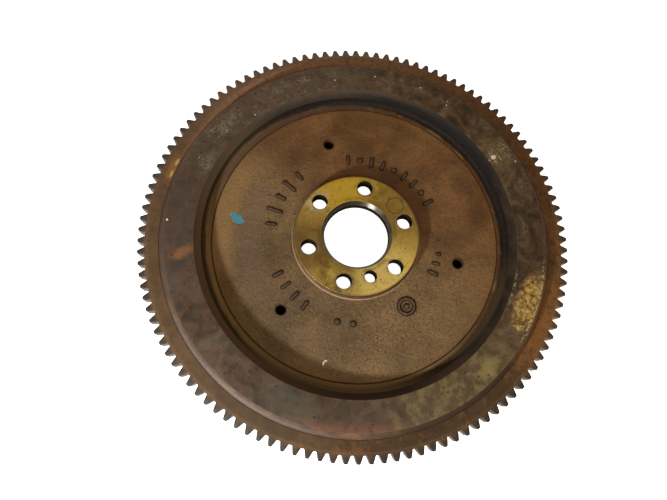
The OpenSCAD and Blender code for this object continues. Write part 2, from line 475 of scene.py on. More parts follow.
def cast_web():
    """The web: sand-cast skin under brown rust, greyer and grainier below; the marks have darker sloping
    sides and painted shade round them.
    """
    s = Shade("cast_web")
    broad = s.noise(34, 1, detail=4, distort=0.6)
    fine = s.noise(2.6, 2, detail=6, rough=0.72)
    grain = s.noise(1.15, 3, detail=3, rough=0.7)
    pale_grain = s.noise(1.3, 4, detail=3, rough=0.7)
    lower = s.most(s.sector(268, 74, 34, 0.25, 5), s.times(s.sector(185, 40, 24, 0.2, 6), 0.9))
    inner = s.smooth(s.radius, 90, 76)
    grainy = s.times(lower, s.blend(inner, 0.7, 1.0))
    s.colour = s.ramp(broad, (0.36, 82, 55, 30), (0.50, 99, 69, 40), (0.64, 116, 82, 49))
    s.over(lower, 0.7, s.ramp(broad, (0.36, 84, 69, 46), (0.64, 112, 93, 63)))
    warm = s.smooth(s.noise(13, 7, detail=4, rough=0.6), 0.54, 0.70)
    s.over(warm, 0.40, (118, 76, 42))
    s.over(s.smooth(fine, 0.46, 0.72), 0.55, (74, 50, 28))
    dark_grain = s.smooth(grain, 0.50, 0.68)
    s.over(dark_grain, s.blend(grainy, 0.35, 0.75), (52, 37, 23))
    s.over(s.smooth(pale_grain, 0.56, 0.72), s.times(grainy, 0.6), (146, 124, 92))
    s.over(s.specks(1.7, 0.08, 8), 0.75, (40, 27, 17))
    foot = s.smooth(s.add(s.radius, s.sway(s.noise(5, 10), 4)), 93, 99)
    s.over(foot, 0.45, (104, 70, 34))
    tan = s.times(s.smooth(s.radius, 80, 90), s.sector(172, 26, 9, 0.1, 9))
    s.over(tan, 0.6, (128, 98, 62))
    violet = s.times(s.sector(186, 30, 12, 0.2, 16), s.band(s.radius, 66, 82, 5))
    s.over(violet, 0.35, (104, 82, 72))
    s.tint((228, 34, 22), 0.22, (66, 52, 38))
    groove = s.band(s.radius, FLOOR_R - GROOVE_W - 0.1, FLOOR_R + 0.1, 0.3)
    s.over(groove, s.smooth(s.noise(16, 11), 0.38, 0.6, 0.1, 0.45), (56, 36, 20))
    s.over(s.near_holes(TOOLING_R, TOOLING_ANGLES, 2.2, 3.3), 0.75, (36, 23, 14))
    run = s.blot(58.4, 107.3, 6, 2.4, 0.5, 0.9, 18, size=3)
    s.over(run, 0.45, (92, 54, 34))
    # the sloping sides of the raised marks are painted darker, and painted shade from occlusion darkens the
    # corners round them and, more weakly, those at the foot of the boss
    facing = s.node("SeparateXYZ", {0: s.node("NewGeometry").outputs["True Normal"]}).outputs[2]
    slope = s.smooth(facing, 0.994, 0.90)
    marked = s.band(s.radius, 51, 68, 1)
    occlusion_shade = s.times(s.smooth(s.occlusion_shade(3.2), 0.03, 0.30), s.smooth(s.radius, 45, 48, 0.4, 1.0))
    tops = s.times(s.smooth(s.z, FLOOR_Z + 0.4, FLOOR_Z + 0.6), marked)
    s.over(tops, s.smooth(fine, 0.36, 0.6, 0.35, 0.7), (62, 43, 27))
    dark_sides_and_shade = s.most(s.times(slope, marked), occlusion_shade)
    s.over(dark_sides_and_shade, 0.94, (22, 13, 7))
    # a painted highlight along the foot of the boss, brightest towards the lower left
    boss_foot_highlight = s.band(s.radius, BOSS_FOOT_R + 0.9, BOSS_FOOT_R + 1.4, 0.35)
    s.over(boss_foot_highlight, s.blend(s.sector(245, 60, 30), 0.195, 0.65), (176, 148, 114))
    # a dab of blue paint and a white drip
    paint = s.blot(83.6, 175.3, 5.4, 2.8, 0.12, 0.8, 12, size=2.4, tilt=-33)
    paint = s.times(paint, s.smooth(s.noise(1.2, 17, detail=4, rough=0.7), 0.34, 0.5, 0.55, 0.95))
    s.over(paint, 1, (50, 122, 142))
    drip = s.most(s.blot(89.4, 258.8, 1.5, 0.6, 0.25, 0.6, 13), s.blot(87.6, 259.5, 0.6, 0.8, 0.3, 0.4, 14))
    s.over(drip, 1, (196, 184, 164))
    s.bump(s.noise(3.0, 15, detail=5, rough=0.66), 0.5)
    s.bump(s.invert(dark_grain), 0.10)
    roughness = s.blend(dark_sides_and_shade, s.smooth(fine, 0.3, 0.7, 0.50, 0.66), 0.85)
    return s.done(roughness, 0.0, 0.25)


def cast_wall():
    """The hollow corner of the recess: a rusty line by the groove, then nearly black up the wall."""
    s = Shade("cast_wall")
    reach = s.add(s.radius, s.sway(s.noise(8, 21, detail=5, rough=0.65), 2.6))
    fine = s.noise(1.6, 22, detail=5, rough=0.7)
    left = s.sector(196, 60, 22, 0.1, 23)
    strip = s.ramp(s.noise(11, 24, detail=4), (0.38, 88, 62, 34), (0.52, 78, 48, 28), (0.64, 104, 84, 46))
    strip = s.mixed(strip, s.sector(225, 90, 20), 0.8, (114, 91, 58))
    top_left = s.sector(128, 44, 20)
    strip = s.mixed(strip, top_left, 0.75, (72, 54, 43))
    dark_band_start = s.add(s.blend(left, 101.3, 102.8), s.times(top_left, 1.8))
    dark_band = s.smooth(s.math("SUBTRACT", reach, dark_band_start), -0.7, 1.5)
    black = s.mix(s.smooth(fine, 0.4, 0.7), rgb(30, 24, 18), rgb(16, 12, 9))
    black = s.mixed(black, left, 0.8, (52, 41, 26))
    # painted light: the dark band is lighter at the bottom and, more weakly, at the lower right
    black = s.mixed(black, s.sector(264, 26, 16), 0.75, (124, 100, 70))
    black = s.mixed(black, s.sector(312, 34, 16), 0.3, (104, 82, 56))
    s.colour = s.mix(dark_band, strip, black)
    s.tint((238, 22, 16), 0.3, (50, 38, 26))
    line = s.smooth(s.radius, FLOOR_R + 0.8, FLOOR_R + 0.1)
    s.over(line, 0.35, (58, 34, 18))
    s.bump(s.noise(2.6, 25, detail=5, rough=0.62), 0.20)
    s.bump(s.noise(0.7, 26, detail=3), 0.05)
    return s.done(s.smooth(fine, 0.3, 0.7, 0.62, 0.78), 0.0, 0.10)


def inner_bevel():
    """The turned bevel inside the rim: matt and nearly black, bluish at the top, greenish at the left."""
    s = Shade("inner_bevel")
    rings = s.turned(0.45, 31)
    cloud = s.noise(9, 32, detail=5, rough=0.6)
    s.colour = s.ramp(cloud, (0.38, 28, 20, 14), (0.52, 38, 28, 20), (0.62, 48, 36, 26))
    s.tint((62, 36, 16), 0.85, (15, 12, 10))
    s.tint((118, 24, 16), 0.7, (48, 41, 36))
    s.tint((165, 26, 14), 0.65, (78, 66, 48))
    s.tint((216, 42, 18), 0.75, (88, 66, 48))
    s.tint((280, 34, 14), 0.6, (66, 50, 36))
    # it fades into the rim's colour on its upper half, most of all at the upper left
    upper = s.smooth(s.add(s.z, s.sway(cloud, 3)), RING_FRONT_Z + 0.8, RIM_TOP_Z - 0.2)
    s.over(upper, s.blend(s.sector(130, 60, 24), 0.2, 0.8), (66, 54, 44))
    s.over(s.smooth(rings, 0.5, 0.8), 0.3, (20, 15, 11))
    s.bump(rings, 0.012)
    s.bump(cloud, 0.04)
    return s.done(s.smooth(cloud, 0.3, 0.7, 0.66, 0.8), 0.0, 0.10)


def rim_face():
    """The flat rim: turned iron under blotchy rust, purple-grey, red-brown, olive and one golden patch."""
    s = Shade("rim_face")
    rings = s.turned(0.35, 41)
    cloud = s.noise(15, 42, detail=6, rough=0.66, distort=0.8)
    mottle = s.noise(4.6, 43, detail=6, rough=0.7)
    fine = s.noise(1.1, 44, detail=4, rough=0.72)
    s.colour = s.ramp(cloud, (0.36, 42, 31, 20), (0.46, 62, 46, 30), (0.54, 78, 60, 41), (0.63, 92, 77, 58))
    tone = s.smooth(s.noise(9, 40, detail=3), 0.5, 0.66)
    s.over(tone, 0.4, (78, 52, 32))
    grey = s.sector(146, 56, 16, 0.2, 45)
    s.over(grey, 0.66, (80, 67, 57))
    # large patches at the left, grey-green or red-brown
    left = s.sector(184, 88, 16, 0.1, 32)
    patches = s.noise(13, 65, detail=3, rough=0.5, distort=1.2)
    calm = s.times(left, s.blend(s.sector(142, 40, 16), 1.0, 0.45))
    s.over(calm, s.smooth(patches, 0.50, 0.58, 0.0, 0.55), (94, 62, 52))
    s.over(calm, s.smooth(patches, 0.48, 0.40, 0.0, 0.55), (56, 52, 45))
    near = s.sector(228, 76, 18, 0.1, 66)
    s.over(near, 0.42, (50, 37, 32))
    s.tint((262, 22, 12), 0.25, (50, 38, 28))
    green = s.blot(119.4, 252.5, 8, 20, 0.6, 0.9, 47, size=9)
    s.over(green, 0.45, (66, 66, 54))
    pink = s.times(s.sector(272, 14, 6, 0.06, 48), s.smooth(s.radius, 121, 128))
    s.over(pink, 0.5, (104, 68, 50))
    spotted = s.blend(s.most(left, s.sector(305, 24, 12)), 0.62, 0.3)
    s.over(s.smooth(mottle, 0.50, 0.64), spotted, (38, 28, 19))
    s.over(s.smooth(fine, 0.54, 0.74), 0.35, (36, 27, 19))
    # olive and yellowish blotches at the lower right
    s.tint((308, 18, 9), 0.45, (78, 62, 38))
    olive = s.times(s.sector(303, 20, 8, 0.1, 49), s.smooth(s.noise(8, 50, detail=7, rough=0.66), 0.44, 0.60))
    s.over(olive, 0.45, (116, 102, 68))
    yellow = s.blot(122.5, 315.7, 4.5, 8, 0.5, 1.2, 39, size=3.5)
    s.over(yellow, 0.5, (128, 112, 70))
    # the golden patch: crusty, from dark pits through orange to pale gold
    gold = s.blot(122, 340.4, 7.6, 16.5, 0.3, 1.1, 51, size=5)
    crust = s.noise(3.0, 53, detail=7, rough=0.72)
    crusty = s.ramp(
        crust, (0.37, 62, 42, 22), (0.43, 112, 76, 36), (0.50, 140, 110, 50), (0.60, 176, 154, 90),
    )
    s.over(gold, 0.92, crusty)
    # whitish flakes along the outer and inner corners beside it
    flakes = s.smooth(s.noise(1.9, 55, detail=5, rough=0.78), 0.48, 0.60)
    outer_edge = s.smooth(s.radius, RIM_OUTER_R - 2.6, RIM_OUTER_R - 0.6)
    outer_flakes = s.times(s.sector(342, 12, 3, 0.03, 54), outer_edge)
    s.over(s.times(outer_flakes, flakes), 0.9, (196, 176, 128))
    inner_edge = s.smooth(s.radius, RIM_INNER_R + 3.0, RIM_INNER_R + 0.6)
    inner_flakes = s.times(s.sector(342, 7, 4, 0.03, 37), inner_edge)
    s.over(s.times(inner_flakes, flakes), 0.6, (150, 144, 112))
    rust = s.blot(117, 191.6, 7.2, 3.2, 0.65, 1.2, 56, size=4, tilt=20)
    s.over(rust, 0.6, (126, 82, 48))
    # pale grey-green stains at the upper left
    edge = s.smooth(s.noise(3, 67, detail=6, rough=0.74), 0.42, 0.58)
    for seed, place in ((68, (121, 142, 5.5, 10)), (69, (115, 159, 4.5, 8)), (70, (122, 120, 4, 6))):
        s.over(s.times(s.blot(*place, 0.5, 0.9, seed, size=5), edge), 0.55, (108, 104, 86))
    # flecks of old white sealant at the upper right, pale scuffs at the upper left
    chips = s.smooth(s.noise(1.5, 58, detail=4, rough=0.78), 0.56, 0.64)
    area = s.blot(115.5, 34, 5, 6, 0.5, 0.9, 57, size=4)
    area = s.most(area, s.blot(125.5, 34.6, 3.4, 7, 0.5, 0.9, 36, size=4))
    for radius, angle in ((122, 112), (124, 138), (125.5, 148), (117, 146)):
        area = s.most(area, s.times(s.blot(radius, angle, 2.5, 6, 0.5, 0.9, 29, size=3), 0.6))
    flecks = s.most(s.times(area, chips), s.blot(114.4, 34, 2.0, 1.5, 0.3, 0.9, 59, size=1.4))
    halo = s.blot(118, 35, 10, 14, 0.6, 0.7, 60, size=8)
    s.over(halo, 0.4, (104, 88, 56))
    s.over(flecks, 0.85, (206, 198, 176))
    scuffs = s.smooth(s.noise(3.4, 62, detail=8, rough=0.8), 0.53, 0.64)
    s.over(s.times(s.sector(122, 30, 12, 0.2, 61), scuffs), 0.5, (124, 112, 88))
    scuffs = s.smooth(s.noise(4, 34, detail=8, rough=0.8), 0.54, 0.66)
    s.over(s.times(s.sector(62, 20, 10, 0.2, 35), scuffs), 0.4, (108, 92, 64))
    distance, chance = s.cells(7, 63)
    dots = s.times(s.smooth(distance, 0.10, 0.06), s.math("LESS_THAN", chance, 0.12))
    dot = s.blot(127.6, 180.7, 0.7, 0.7, 0.3, 0.3, 33)
    s.over(s.most(s.times(dots, 0.8), dot), 1, (204, 194, 180))
    s.over(s.specks(3.0, 0.10, 64), 0.65, (28, 21, 15))
    rim_wear = s.smooth(s.radius, RIM_INNER_R + 1.2, RIM_INNER_R)
    rim_wear = s.most(rim_wear, s.smooth(s.radius, RIM_OUTER_R - 1.0, RIM_OUTER_R))
    s.over(s.times(rim_wear, s.smooth(fine, 0.42, 0.6)), 0.15, (116, 92, 68))
    s.bump(rings, 0.012)
    s.bump(mottle, 0.06)
    s.bump(fine, 0.03)
    s.bump(s.times(gold, crust), 0.3)
    rough = s.add(s.smooth(cloud, 0.3, 0.7, 0.42, 0.58), s.times(gold, 0.2))
    return s.done(rough, 0.0, 0.32)


def outer_bevel():
    """The bevel from the rim to the ring gear: dark brown, with a painted lilac sheen where it faces the
    window.
    """
    s = Shade("outer_bevel")
    rings = s.turned(0.4, 71)
    cloud = s.noise(9, 72, detail=6, rough=0.66)
    s.colour = s.ramp(cloud, (0.36, 50, 33, 19), (0.52, 68, 46, 27), (0.66, 84, 58, 36))
    # painted sheen: lighter lilac where the bevel faces the window
    painted_sheen = s.times(s.sector(236, 25, 10, 0.06, 73), s.smooth(s.radius, RIM_OUTER_R + 0.8, RIM_OUTER_R + 2.4))
    s.over(painted_sheen, 0.75, (80, 66, 60))
    s.tint((114, 40, 18, 0.08, 75), 0.65, (112, 90, 68))
    s.tint((184, 18, 10), 0.65, (56, 38, 28))
    s.tint((318, 34, 8, 0.06, 76), 0.9, (42, 22, 4))
    s.tint((337, 12, 6, 0.06, 78), 0.7, (96, 60, 24))
    flakes = s.smooth(s.noise(1.9, 55, detail=5, rough=0.78), 0.48, 0.60)
    flakes = s.times(s.sector(342, 12, 3, 0.03, 77), flakes)
    s.over(s.times(flakes, s.smooth(s.radius, RIM_OUTER_R + 1.0, RIM_OUTER_R)), 0.85, (190, 168, 118))
    s.over(s.smooth(s.noise(2.2, 79, detail=5, rough=0.7), 0.54, 0.7), 0.4, (38, 26, 17))
    foot = s.times(s.smooth(s.radius, SEAT_R - 0.5, SEAT_R - 0.1), s.blend(s.sector(220, 46, 18), 0.0, 0.6))
    s.over(foot, 1, (30, 20, 12))
    s.bump(rings, 0.012)
    s.bump(cloud, 0.03)
    return s.done(s.blend(painted_sheen, 0.8, 0.38), 0.0, 0.3)


def crank_face():
    """The machined crank face: oily golden iron with smudges, stained holes, bright scuffs and a painted
    sheen.
    """
    s = Shade("crank_face")
    rings = s.turned(0.28, 81, stretch=5)
    cloud = s.noise(10, 82, detail=5, rough=0.62, distort=1.0)
    smear = s.noise(3.4, 83, detail=6, rough=0.7)
    fine = s.noise(0.8, 84, detail=4, rough=0.72)
    s.colour = s.ramp(
        cloud, (0.36, 112, 88, 36), (0.46, 140, 114, 48), (0.56, 162, 136, 62), (0.66, 182, 158, 86),
    )
    # painted highlights towards the upper left and lower right, where the turned face's sheen falls, and
    # painted shade towards the left and the upper right
    s.tint((112, 32, 16, 0.14, 85), 0.8, (198, 160, 48))
    s.tint((25, 40, 18, 0.14, 86), 0.7, (134, 106, 46))
    s.tint((192, 32, 16, 0.14, 87), 0.75, (98, 72, 34))
    s.tint((306, 34, 14, 0.14, 88), 0.8, (214, 186, 104))
    s.tint((152, 16, 12), 0.45, (176, 142, 60))
    s.tint((340, 18, 12), 0.45, (206, 176, 86))
    s.over(s.smooth(smear, 0.50, 0.68), 0.4, (84, 62, 28))
    stain = s.near_holes(CRANK_BOLT_R, CRANK_BOLT_ANGLES, 3.4, 5.0)
    stain = s.most(stain, s.near_holes(CRANK_DOWEL_R, (CRANK_DOWEL_ANGLE,), 3.0, 3.9))
    patchy = s.smooth(s.noise(4.5, 89, detail=4), 0.40, 0.60)
    s.over(s.times(stain, patchy), 0.75, (84, 80, 66))
    scuffs = s.times(s.blot(37, 142, 7, 9, 0.5, 0.8, 90, size=6), s.smooth(smear, 0.42, 0.56))
    s.over(scuffs, 0.6, (186, 174, 140))
    place = (*polar(34.5, at(42)), 0)
    ring_stain = s.band(s.vector("DISTANCE", s.point, place), 5.4, 6.4, 0.5)
    s.over(s.times(ring_stain, s.smooth(smear, 0.36, 0.5)), 0.6, (66, 48, 20))
    wear = s.band(s.radius, BORE_R + LEAD_IN_W + 0.2, BORE_R + LEAD_IN_W + 3.0, 1.0)
    s.over(s.times(wear, s.smooth(cloud, 0.4, 0.6)), 0.5, (64, 52, 30))
    edge = s.smooth(s.radius, BOSS_R - 1.3, BOSS_R - 0.4)
    s.over(edge, 0.6, (78, 52, 22))
    s.over(s.smooth(s.radius, BOSS_R - 0.5, BOSS_R - 0.1), 0.4, (150, 110, 60))
    s.over(s.specks(1.8, 0.07, 91), 0.75, (48, 34, 16))
    s.bump(rings, 0.010)
    s.bump(smear, 0.02)
    s.bump(fine, 0.006)
    rough = s.add(s.smooth(smear, 0.35, 0.65, 0.30, 0.46), s.times(stain, 0.1))
    return s.done(rough, 0.45, 0.5, anisotropic=0.6)


def boss_wall():
    """The cast side of the crank boss, rusty brown with a rubbed top edge."""
    s = Shade("boss_wall")
    cloud = s.noise(5, 101, detail=5, rough=0.65)
    s.colour = s.ramp(cloud, (0.36, 62, 40, 20), (0.52, 92, 62, 32), (0.68, 116, 80, 44))
    s.over(s.smooth(s.z, -1.0, -0.3), 0.35, (142, 106, 66))
    s.over(s.smooth(s.z, FLOOR_Z + 1.8, FLOOR_Z), 0.6, (52, 34, 18))
    s.tint((290, 46, 20), 0.65, (46, 32, 18))
    s.bump(s.noise(1.8, 102, detail=4), 0.12)
    return s.done(0.55, 0.0, 0.3)


def bore():
    """The spigot bore and the walls of the bolt holes: dark, oily iron."""
    s = Shade("bore")
    rings = s.turned(0.5, 111)
    cloud = s.noise(4, 112, detail=4)
    s.colour = s.ramp(cloud, (0.36, 14, 11, 8), (0.66, 34, 26, 17))
    s.bump(rings, 0.02)
    return s.done(s.smooth(cloud, 0.3, 0.7, 0.8, 0.95), 0.0, 0.0)


def lead_in():
    """The tapered lead-in at the front of the bore, dark with lighter turned streaks and a painted glint at
    the upper right.
    """
    s = Shade("lead_in")
    rings = s.turned(0.22, 121)
    cloud = s.noise(6, 122, detail=4)
    s.colour = s.ramp(cloud, (0.36, 26, 19, 12), (0.50, 44, 34, 22), (0.64, 70, 56, 38))
    s.over(s.smooth(rings, 0.5, 0.7), 0.4, (86, 70, 48))
    s.tint((112, 30, 14), 0.8, (14, 10, 7))
    # painted highlight: a lighter sector and a soft glint at the upper right
    s.tint((64, 14, 12), 0.4, (112, 104, 92))
    rubbed = s.blot(BORE_R + 1, 66.5, 1.3, 2.4, 0.8, 0.3, 123, size=1)
    s.over(rubbed, 0.85, (206, 202, 194))
    s.bump(rings, 0.02)
    return s.done(0.55, 0.0, 0.2)


def tooling_hole():
    """The small drilled holes in the web: rusty walls, with painted shade turning them nearly black deeper
    down.
    """
    s = Shade("tooling_hole")
    s.colour = s.ramp(s.noise(2, 131), (0.35, 40, 22, 12), (0.65, 76, 44, 22))
    s.over(s.smooth(s.z, FLOOR_Z - 1.5, FLOOR_Z - 4), 1, (12, 8, 5))
    s.bump(s.noise(0.8, 132), 0.06)
    return s.done(0.75, 0.0, 0.15)


def turned_rust(name, seed, dark, mid, light):
    """Turned iron under an even coat of rust, for the rim's back, its shoulder and the pocket."""
    s = Shade(name)
    rings = s.turned(0.5, seed)
    cloud = s.noise(14, seed + 1, detail=6, rough=0.62, distort=0.5)
    mottle = s.noise(3, seed + 2, detail=6, rough=0.7)
    s.colour = s.ramp(cloud, (0.34, *dark), (0.52, *mid), (0.68, *light))
    s.over(s.smooth(mottle, 0.5, 0.68), 0.5, dark)
    s.over(s.specks(2.6, 0.08, seed + 3), 0.6, (36, 24, 16))
    worn = s.edges(0.5)
    s.over(worn, s.smooth(mottle, 0.36, 0.6), (138, 118, 96))
    s.bump(rings, 0.02)
    s.bump(mottle, 0.06)
    return s.done(s.smooth(mottle, 0.3, 0.7, 0.4, 0.62), 0.15, 0.45)


def friction_face():
    """The clutch face: bare iron polished in rings, with heat tint, score lines and rusty edges."""
    s = Shade("friction_face")
    fine = s.turned(0.16, 151, stretch=8)
    scores = s.turned(1.1, 152, stretch=2, detail=5)
    cloud = s.noise(26, 153, detail=4, distort=0.5)
    mottle = s.noise(3.2, 154, detail=6, rough=0.7)
    s.colour = s.ramp(fine, (0.3, 128, 124, 118), (0.5, 150, 145, 138), (0.7, 168, 163, 155))
    s.over(s.smooth(scores, 0.56, 0.7), 0.55, (92, 86, 80))
    s.over(s.smooth(cloud, 0.5, 0.68), 0.45, (112, 106, 116))
    s.over(s.smooth(cloud, 0.46, 0.32), 0.4, (150, 128, 92))
    border = s.smooth(s.radius, FRICTION_R - 7, FRICTION_R)
    border = s.most(border, s.smooth(s.radius, POCKET_R + 8, POCKET_R))
    rust = s.smooth(s.add(s.times(border, 0.34), mottle), 0.60, 0.76)
    s.over(rust, 0.85, (106, 68, 38))
    s.bump(fine, 0.006)
    s.bump(scores, 0.02)
    s.bump(s.times(rust, mottle), 0.05)
    rough = s.blend(rust, s.smooth(fine, 0.3, 0.7, 0.22, 0.34), 0.7)
    return s.done(rough, s.blend(rust, 0.9, 0.0), 0.5)


def thread_wall():
    """Oily threads in the clutch-cover bolt holes."""
    s = Shade("thread_wall")
    s.colour = s.ramp(s.noise(1.5, 161), (0.35, 40, 32, 24), (0.65, 86, 74, 60))
    return s.done(0.4, 0.6, 0.5)


def casting_materials():
    """Every stretch of the casting's section, by the name that the outline gives it."""
    return {
        "web": cast_web(),
        "wall": cast_wall(),
        "inner_bevel": inner_bevel(),
        "rim": rim_face(),
        "outer_bevel": outer_bevel(),
        "seat": turned_rust("ring_seat", 171, (50, 34, 22), (78, 54, 34), (98, 70, 46)),
        "back": turned_rust("rim_back", 181, (66, 46, 32), (96, 70, 48), (118, 90, 64)),
        "friction": friction_face(),
        "pocket": turned_rust("pocket", 191, (56, 40, 28), (84, 62, 42), (108, 82, 56)),
        "crank_face": crank_face(),
        "boss_wall": boss_wall(),
        "bore": bore(),
        "lead_in": lead_in(),
        "tooling_hole": tooling_hole(),
        "thread": thread_wall(),
    }


# ---- materials: the steel pieces

def ring_steel():
    """The ring gear: brown oxide over turned steel, orange in places, grimy towards the tooth tips."""
    s = Shade("ring_steel")
    rings = s.turned(0.35, 201)
    cloud = s.noise(12, 202, detail=6, rough=0.66, distort=0.8)
    mottle = s.noise(3.4, 203, detail=6, rough=0.72)
    fine = s.noise(0.9, 204, detail=4, rough=0.72)
    s.colour = s.ramp(cloud, (0.36, 66, 42, 23), (0.48, 88, 59, 34), (0.64, 110, 78, 50))
    s.tint((108, 40, 18, 0.12, 205), 0.7, (134, 106, 84))
    grey = s.sector(205, 62, 20, 0.12, 206)
    s.over(grey, 0.7, (76, 60, 43))
    s.tint((298, 28, 14, 0.12, 210), 0.75, (46, 33, 19))
    s.tint((338, 12, 7, 0.1, 207), 0.6, (122, 82, 40))
    s.tint((38, 46, 16), 0.45, (86, 62, 36))
    s.tint((246, 16, 12), 0.3, (50, 38, 28))
    glow = s.blot(137, 163.6, 3.4, 9, 0.6, 0.9, 208, size=3)
    s.over(glow, 0.6, (134, 92, 46))
    warm_strip = s.times(s.sector(128, 34, 14), s.smooth(s.radius, 136.2, 134.2))
    s.over(warm_strip, 0.5, (132, 84, 56))
    outer_part = s.times(s.sector(138, 44, 16), s.smooth(s.radius, 136.5, 140.5))
    s.over(outer_part, 0.6, (82, 62, 50))
    orange = s.smooth(s.noise(7, 209, detail=5, rough=0.66), 0.53, 0.64)
    s.over(orange, s.blend(grey, 0.4, 0.12), (120, 76, 42))
    s.over(s.smooth(mottle, 0.48, 0.64), s.blend(grey, 0.5, 0.3), (50, 34, 21))
    s.over(s.smooth(fine, 0.54, 0.72), 0.3, (38, 27, 18))
    for seed, angle in enumerate((161.6, 165.6)):
        streak = s.blot(134.9, angle, 0.9, 2.6, 0.4, 0.9, 211 + seed, size=1.4)
        s.over(streak, 0.75, (170, 146, 88))
    turned_line = s.band(s.radius, BEVEL_FOOT_R - 0.7, BEVEL_FOOT_R - 0.1, 0.3)
    s.over(turned_line, 0.18, (128, 92, 58))
    # the teeth: grimy grey towards the tips, with painted shade making them darkest at the bottom, where they
    # stick out towards the light
    ragged = s.add(s.radius, s.sway(mottle, 2.6))
    tips = s.smooth(ragged, 141.6, 144.6)
    tip_colour = s.mix(s.smooth(mottle, 0.42, 0.58), rgb(70, 58, 46), rgb(50, 42, 34))
    tip_colour = s.mixed(tip_colour, s.sector(172, 34, 14), 0.7, (52, 50, 48))
    tip_colour = s.mixed(tip_colour, s.sector(106, 34, 16), 0.6, (104, 92, 80))
    tip_colour = s.mixed(tip_colour, s.sector(248, 60, 18), 0.85, (30, 25, 21))
    tip_colour = s.mixed(tip_colour, s.sector(302, 24, 14), 0.6, (26, 20, 14))
    s.over(tips, 0.85, tip_colour)
    ends = s.smooth(s.radius, TIP_R - 0.9, TIP_R - 0.2)
    s.over(ends, 0.6, (24, 20, 17))
    joint = s.smooth(s.radius, SEAT_R + 0.55, SEAT_R + 0.05)
    s.over(joint, s.blend(s.sector(220, 46, 18), 0.0, 0.65), (32, 21, 13))
    # painted shade in the ring's closed-in corners, between the teeth
    gap_shade = s.smooth(s.occlusion_shade(3.0), 0.2, 0.7)
    s.over(gap_shade, 0.7, (26, 19, 13))
    worn = s.times(s.edges(0.35), s.smooth(fine, 0.40, 0.6))
    s.over(worn, 0.35, (116, 98, 80))
    s.bump(rings, 0.012)
    s.bump(mottle, 0.06)
    s.bump(fine, 0.02)
    return s.done(s.add(s.smooth(mottle, 0.3, 0.7, 0.46, 0.6), s.times(ends, 0.3)), 0.0, 0.22)


def dowel_steel():
    """Ground dowel steel with light stains."""
    s = Shade("dowel_steel")
    stains = s.smooth(s.noise(2.4, 221, detail=6, rough=0.7), 0.5, 0.64)
    grind = s.noise(0.18, 222, detail=3)
    s.colour = s.ramp(grind, (0.3, 146, 142, 136), (0.7, 176, 172, 165))
    s.over(stains, 0.8, (108, 76, 48))
    s.bump(grind, 0.004)
    return s.done(s.blend(stains, 0.24, 0.62), s.blend(stains, 0.95, 0.1), 0.5)


# ---- the casting

def body_outline():
    """The casting's section, from the bore's lead-in out round the rim and back over the clutch side."""
    seat_r = SEAT_R - 0.05
    return rounded([
        (BORE_R, -LEAD_IN_D, 0.25, "lead_in"),
        (BORE_R + LEAD_IN_W, 0, 0.25, "crank_face"),
        (BOSS_R, 0, 0.45, "boss_wall"),
        (BOSS_FOOT_R, FLOOR_Z, BOSS_FILLET, "web"),
        (FLOOR_R - GROOVE_W, FLOOR_Z, 0.2, "web"),
        (FLOOR_R - GROOVE_W / 2, FLOOR_Z - GROOVE_D, 0.15, "web"),
        (FLOOR_R, FLOOR_Z, 0, "wall"),
        (WALL_R, FLOOR_Z, RECESS_FILLET - 0.05, "wall"),
        (WALL_R, RING_FRONT_Z, 0.8, "inner_bevel"),
        (RIM_INNER_R, RIM_TOP_Z, 0.7, "rim"),
        (RIM_OUTER_R, RIM_TOP_Z, 0.5, "outer_bevel"),
        (seat_r, RING_FRONT_Z, 0.25, "seat"),
        (seat_r, RING_BACK_Z, 0.1, "back"),
        (SHOULDER_R, RING_BACK_Z, 0.4, "back"),
        (SHOULDER_R, CLUTCH_Z, 0.8, "back"),
        (FRICTION_R + RELIEF_W, CLUTCH_Z, 0.3, "back"),
        (FRICTION_R + RELIEF_W, CLUTCH_Z + RELIEF_D, 0.6, "back"),
        (FRICTION_R, CLUTCH_Z + RELIEF_D, 0.6, "back"),
        (FRICTION_R, CLUTCH_Z, 0.25, "friction"),
        (POCKET_R, CLUTCH_Z, 0.5, "pocket"),
        (POCKET_R, POCKET_Z, 1.5, "pocket"),
        (HEAD_POCKET_R, POCKET_Z, 0.5, "pocket"),
        (HEAD_POCKET_R, HUB_BACK_Z, 1.2, "pocket"),
        (BORE_R, HUB_BACK_Z, 0.3, "bore"),
    ], steps=4)


def casting_blank():
    """The casting as turned, before it is drilled, with a gently uneven cast web."""
    longest = {"web": 1.25, "wall": 1.0, "pocket": 3, "friction": 9, "rim": 4, "crank_face": 3}
    vertices, faces, tags = lathe(divided(body_outline(), longest), STEPS_ROUND)
    inner_r, outer_r, fade_w = BOSS_FOOT_R + 1.5, FLOOR_R - 2, 3
    uneven = []
    for x, y, z in vertices:
        r = math.hypot(x, y)
        if inner_r < r < outer_r and z > FLOOR_Z - 0.2:
            fade = min(1, (r - inner_r) / fade_w, (outer_r - r) / fade_w)
            lift = noise.noise(Vector((x, y, 0)) / 21) * 0.10 + noise.noise(Vector((x, y, 9)) / 6) * 0.05
            z += lift * fade
        uneven.append((x, y, z))
    return uneven, faces, tags


def through_hole(r, centre, chamfer=0.35):
    """A cutter through the hub, chamfered on both faces."""
    outline = [
        (r + chamfer + 0.5, 0.5), (r + chamfer, 0), (r, -chamfer),
        (r, HUB_BACK_Z + chamfer), (r + chamfer, HUB_BACK_Z), (r + chamfer + 0.5, HUB_BACK_Z - 0.5),
    ]
    return capped_lathe(outline, 56, centre, "bore")


def tooling_cutter(centre):
    """A cutter for a chamfered hole in the web, with a drill's point."""
    r, end = TOOLING_HOLE_R, FLOOR_Z - TOOLING_DEPTH
    mouth = [(r + 1.3, FLOOR_Z + 1), (r + 0.3, FLOOR_Z), (r, FLOOR_Z - 0.3)]
    return capped_lathe(mouth + [(r, end), (0.02, end - r * 0.6)], 48, centre, "tooling_hole")


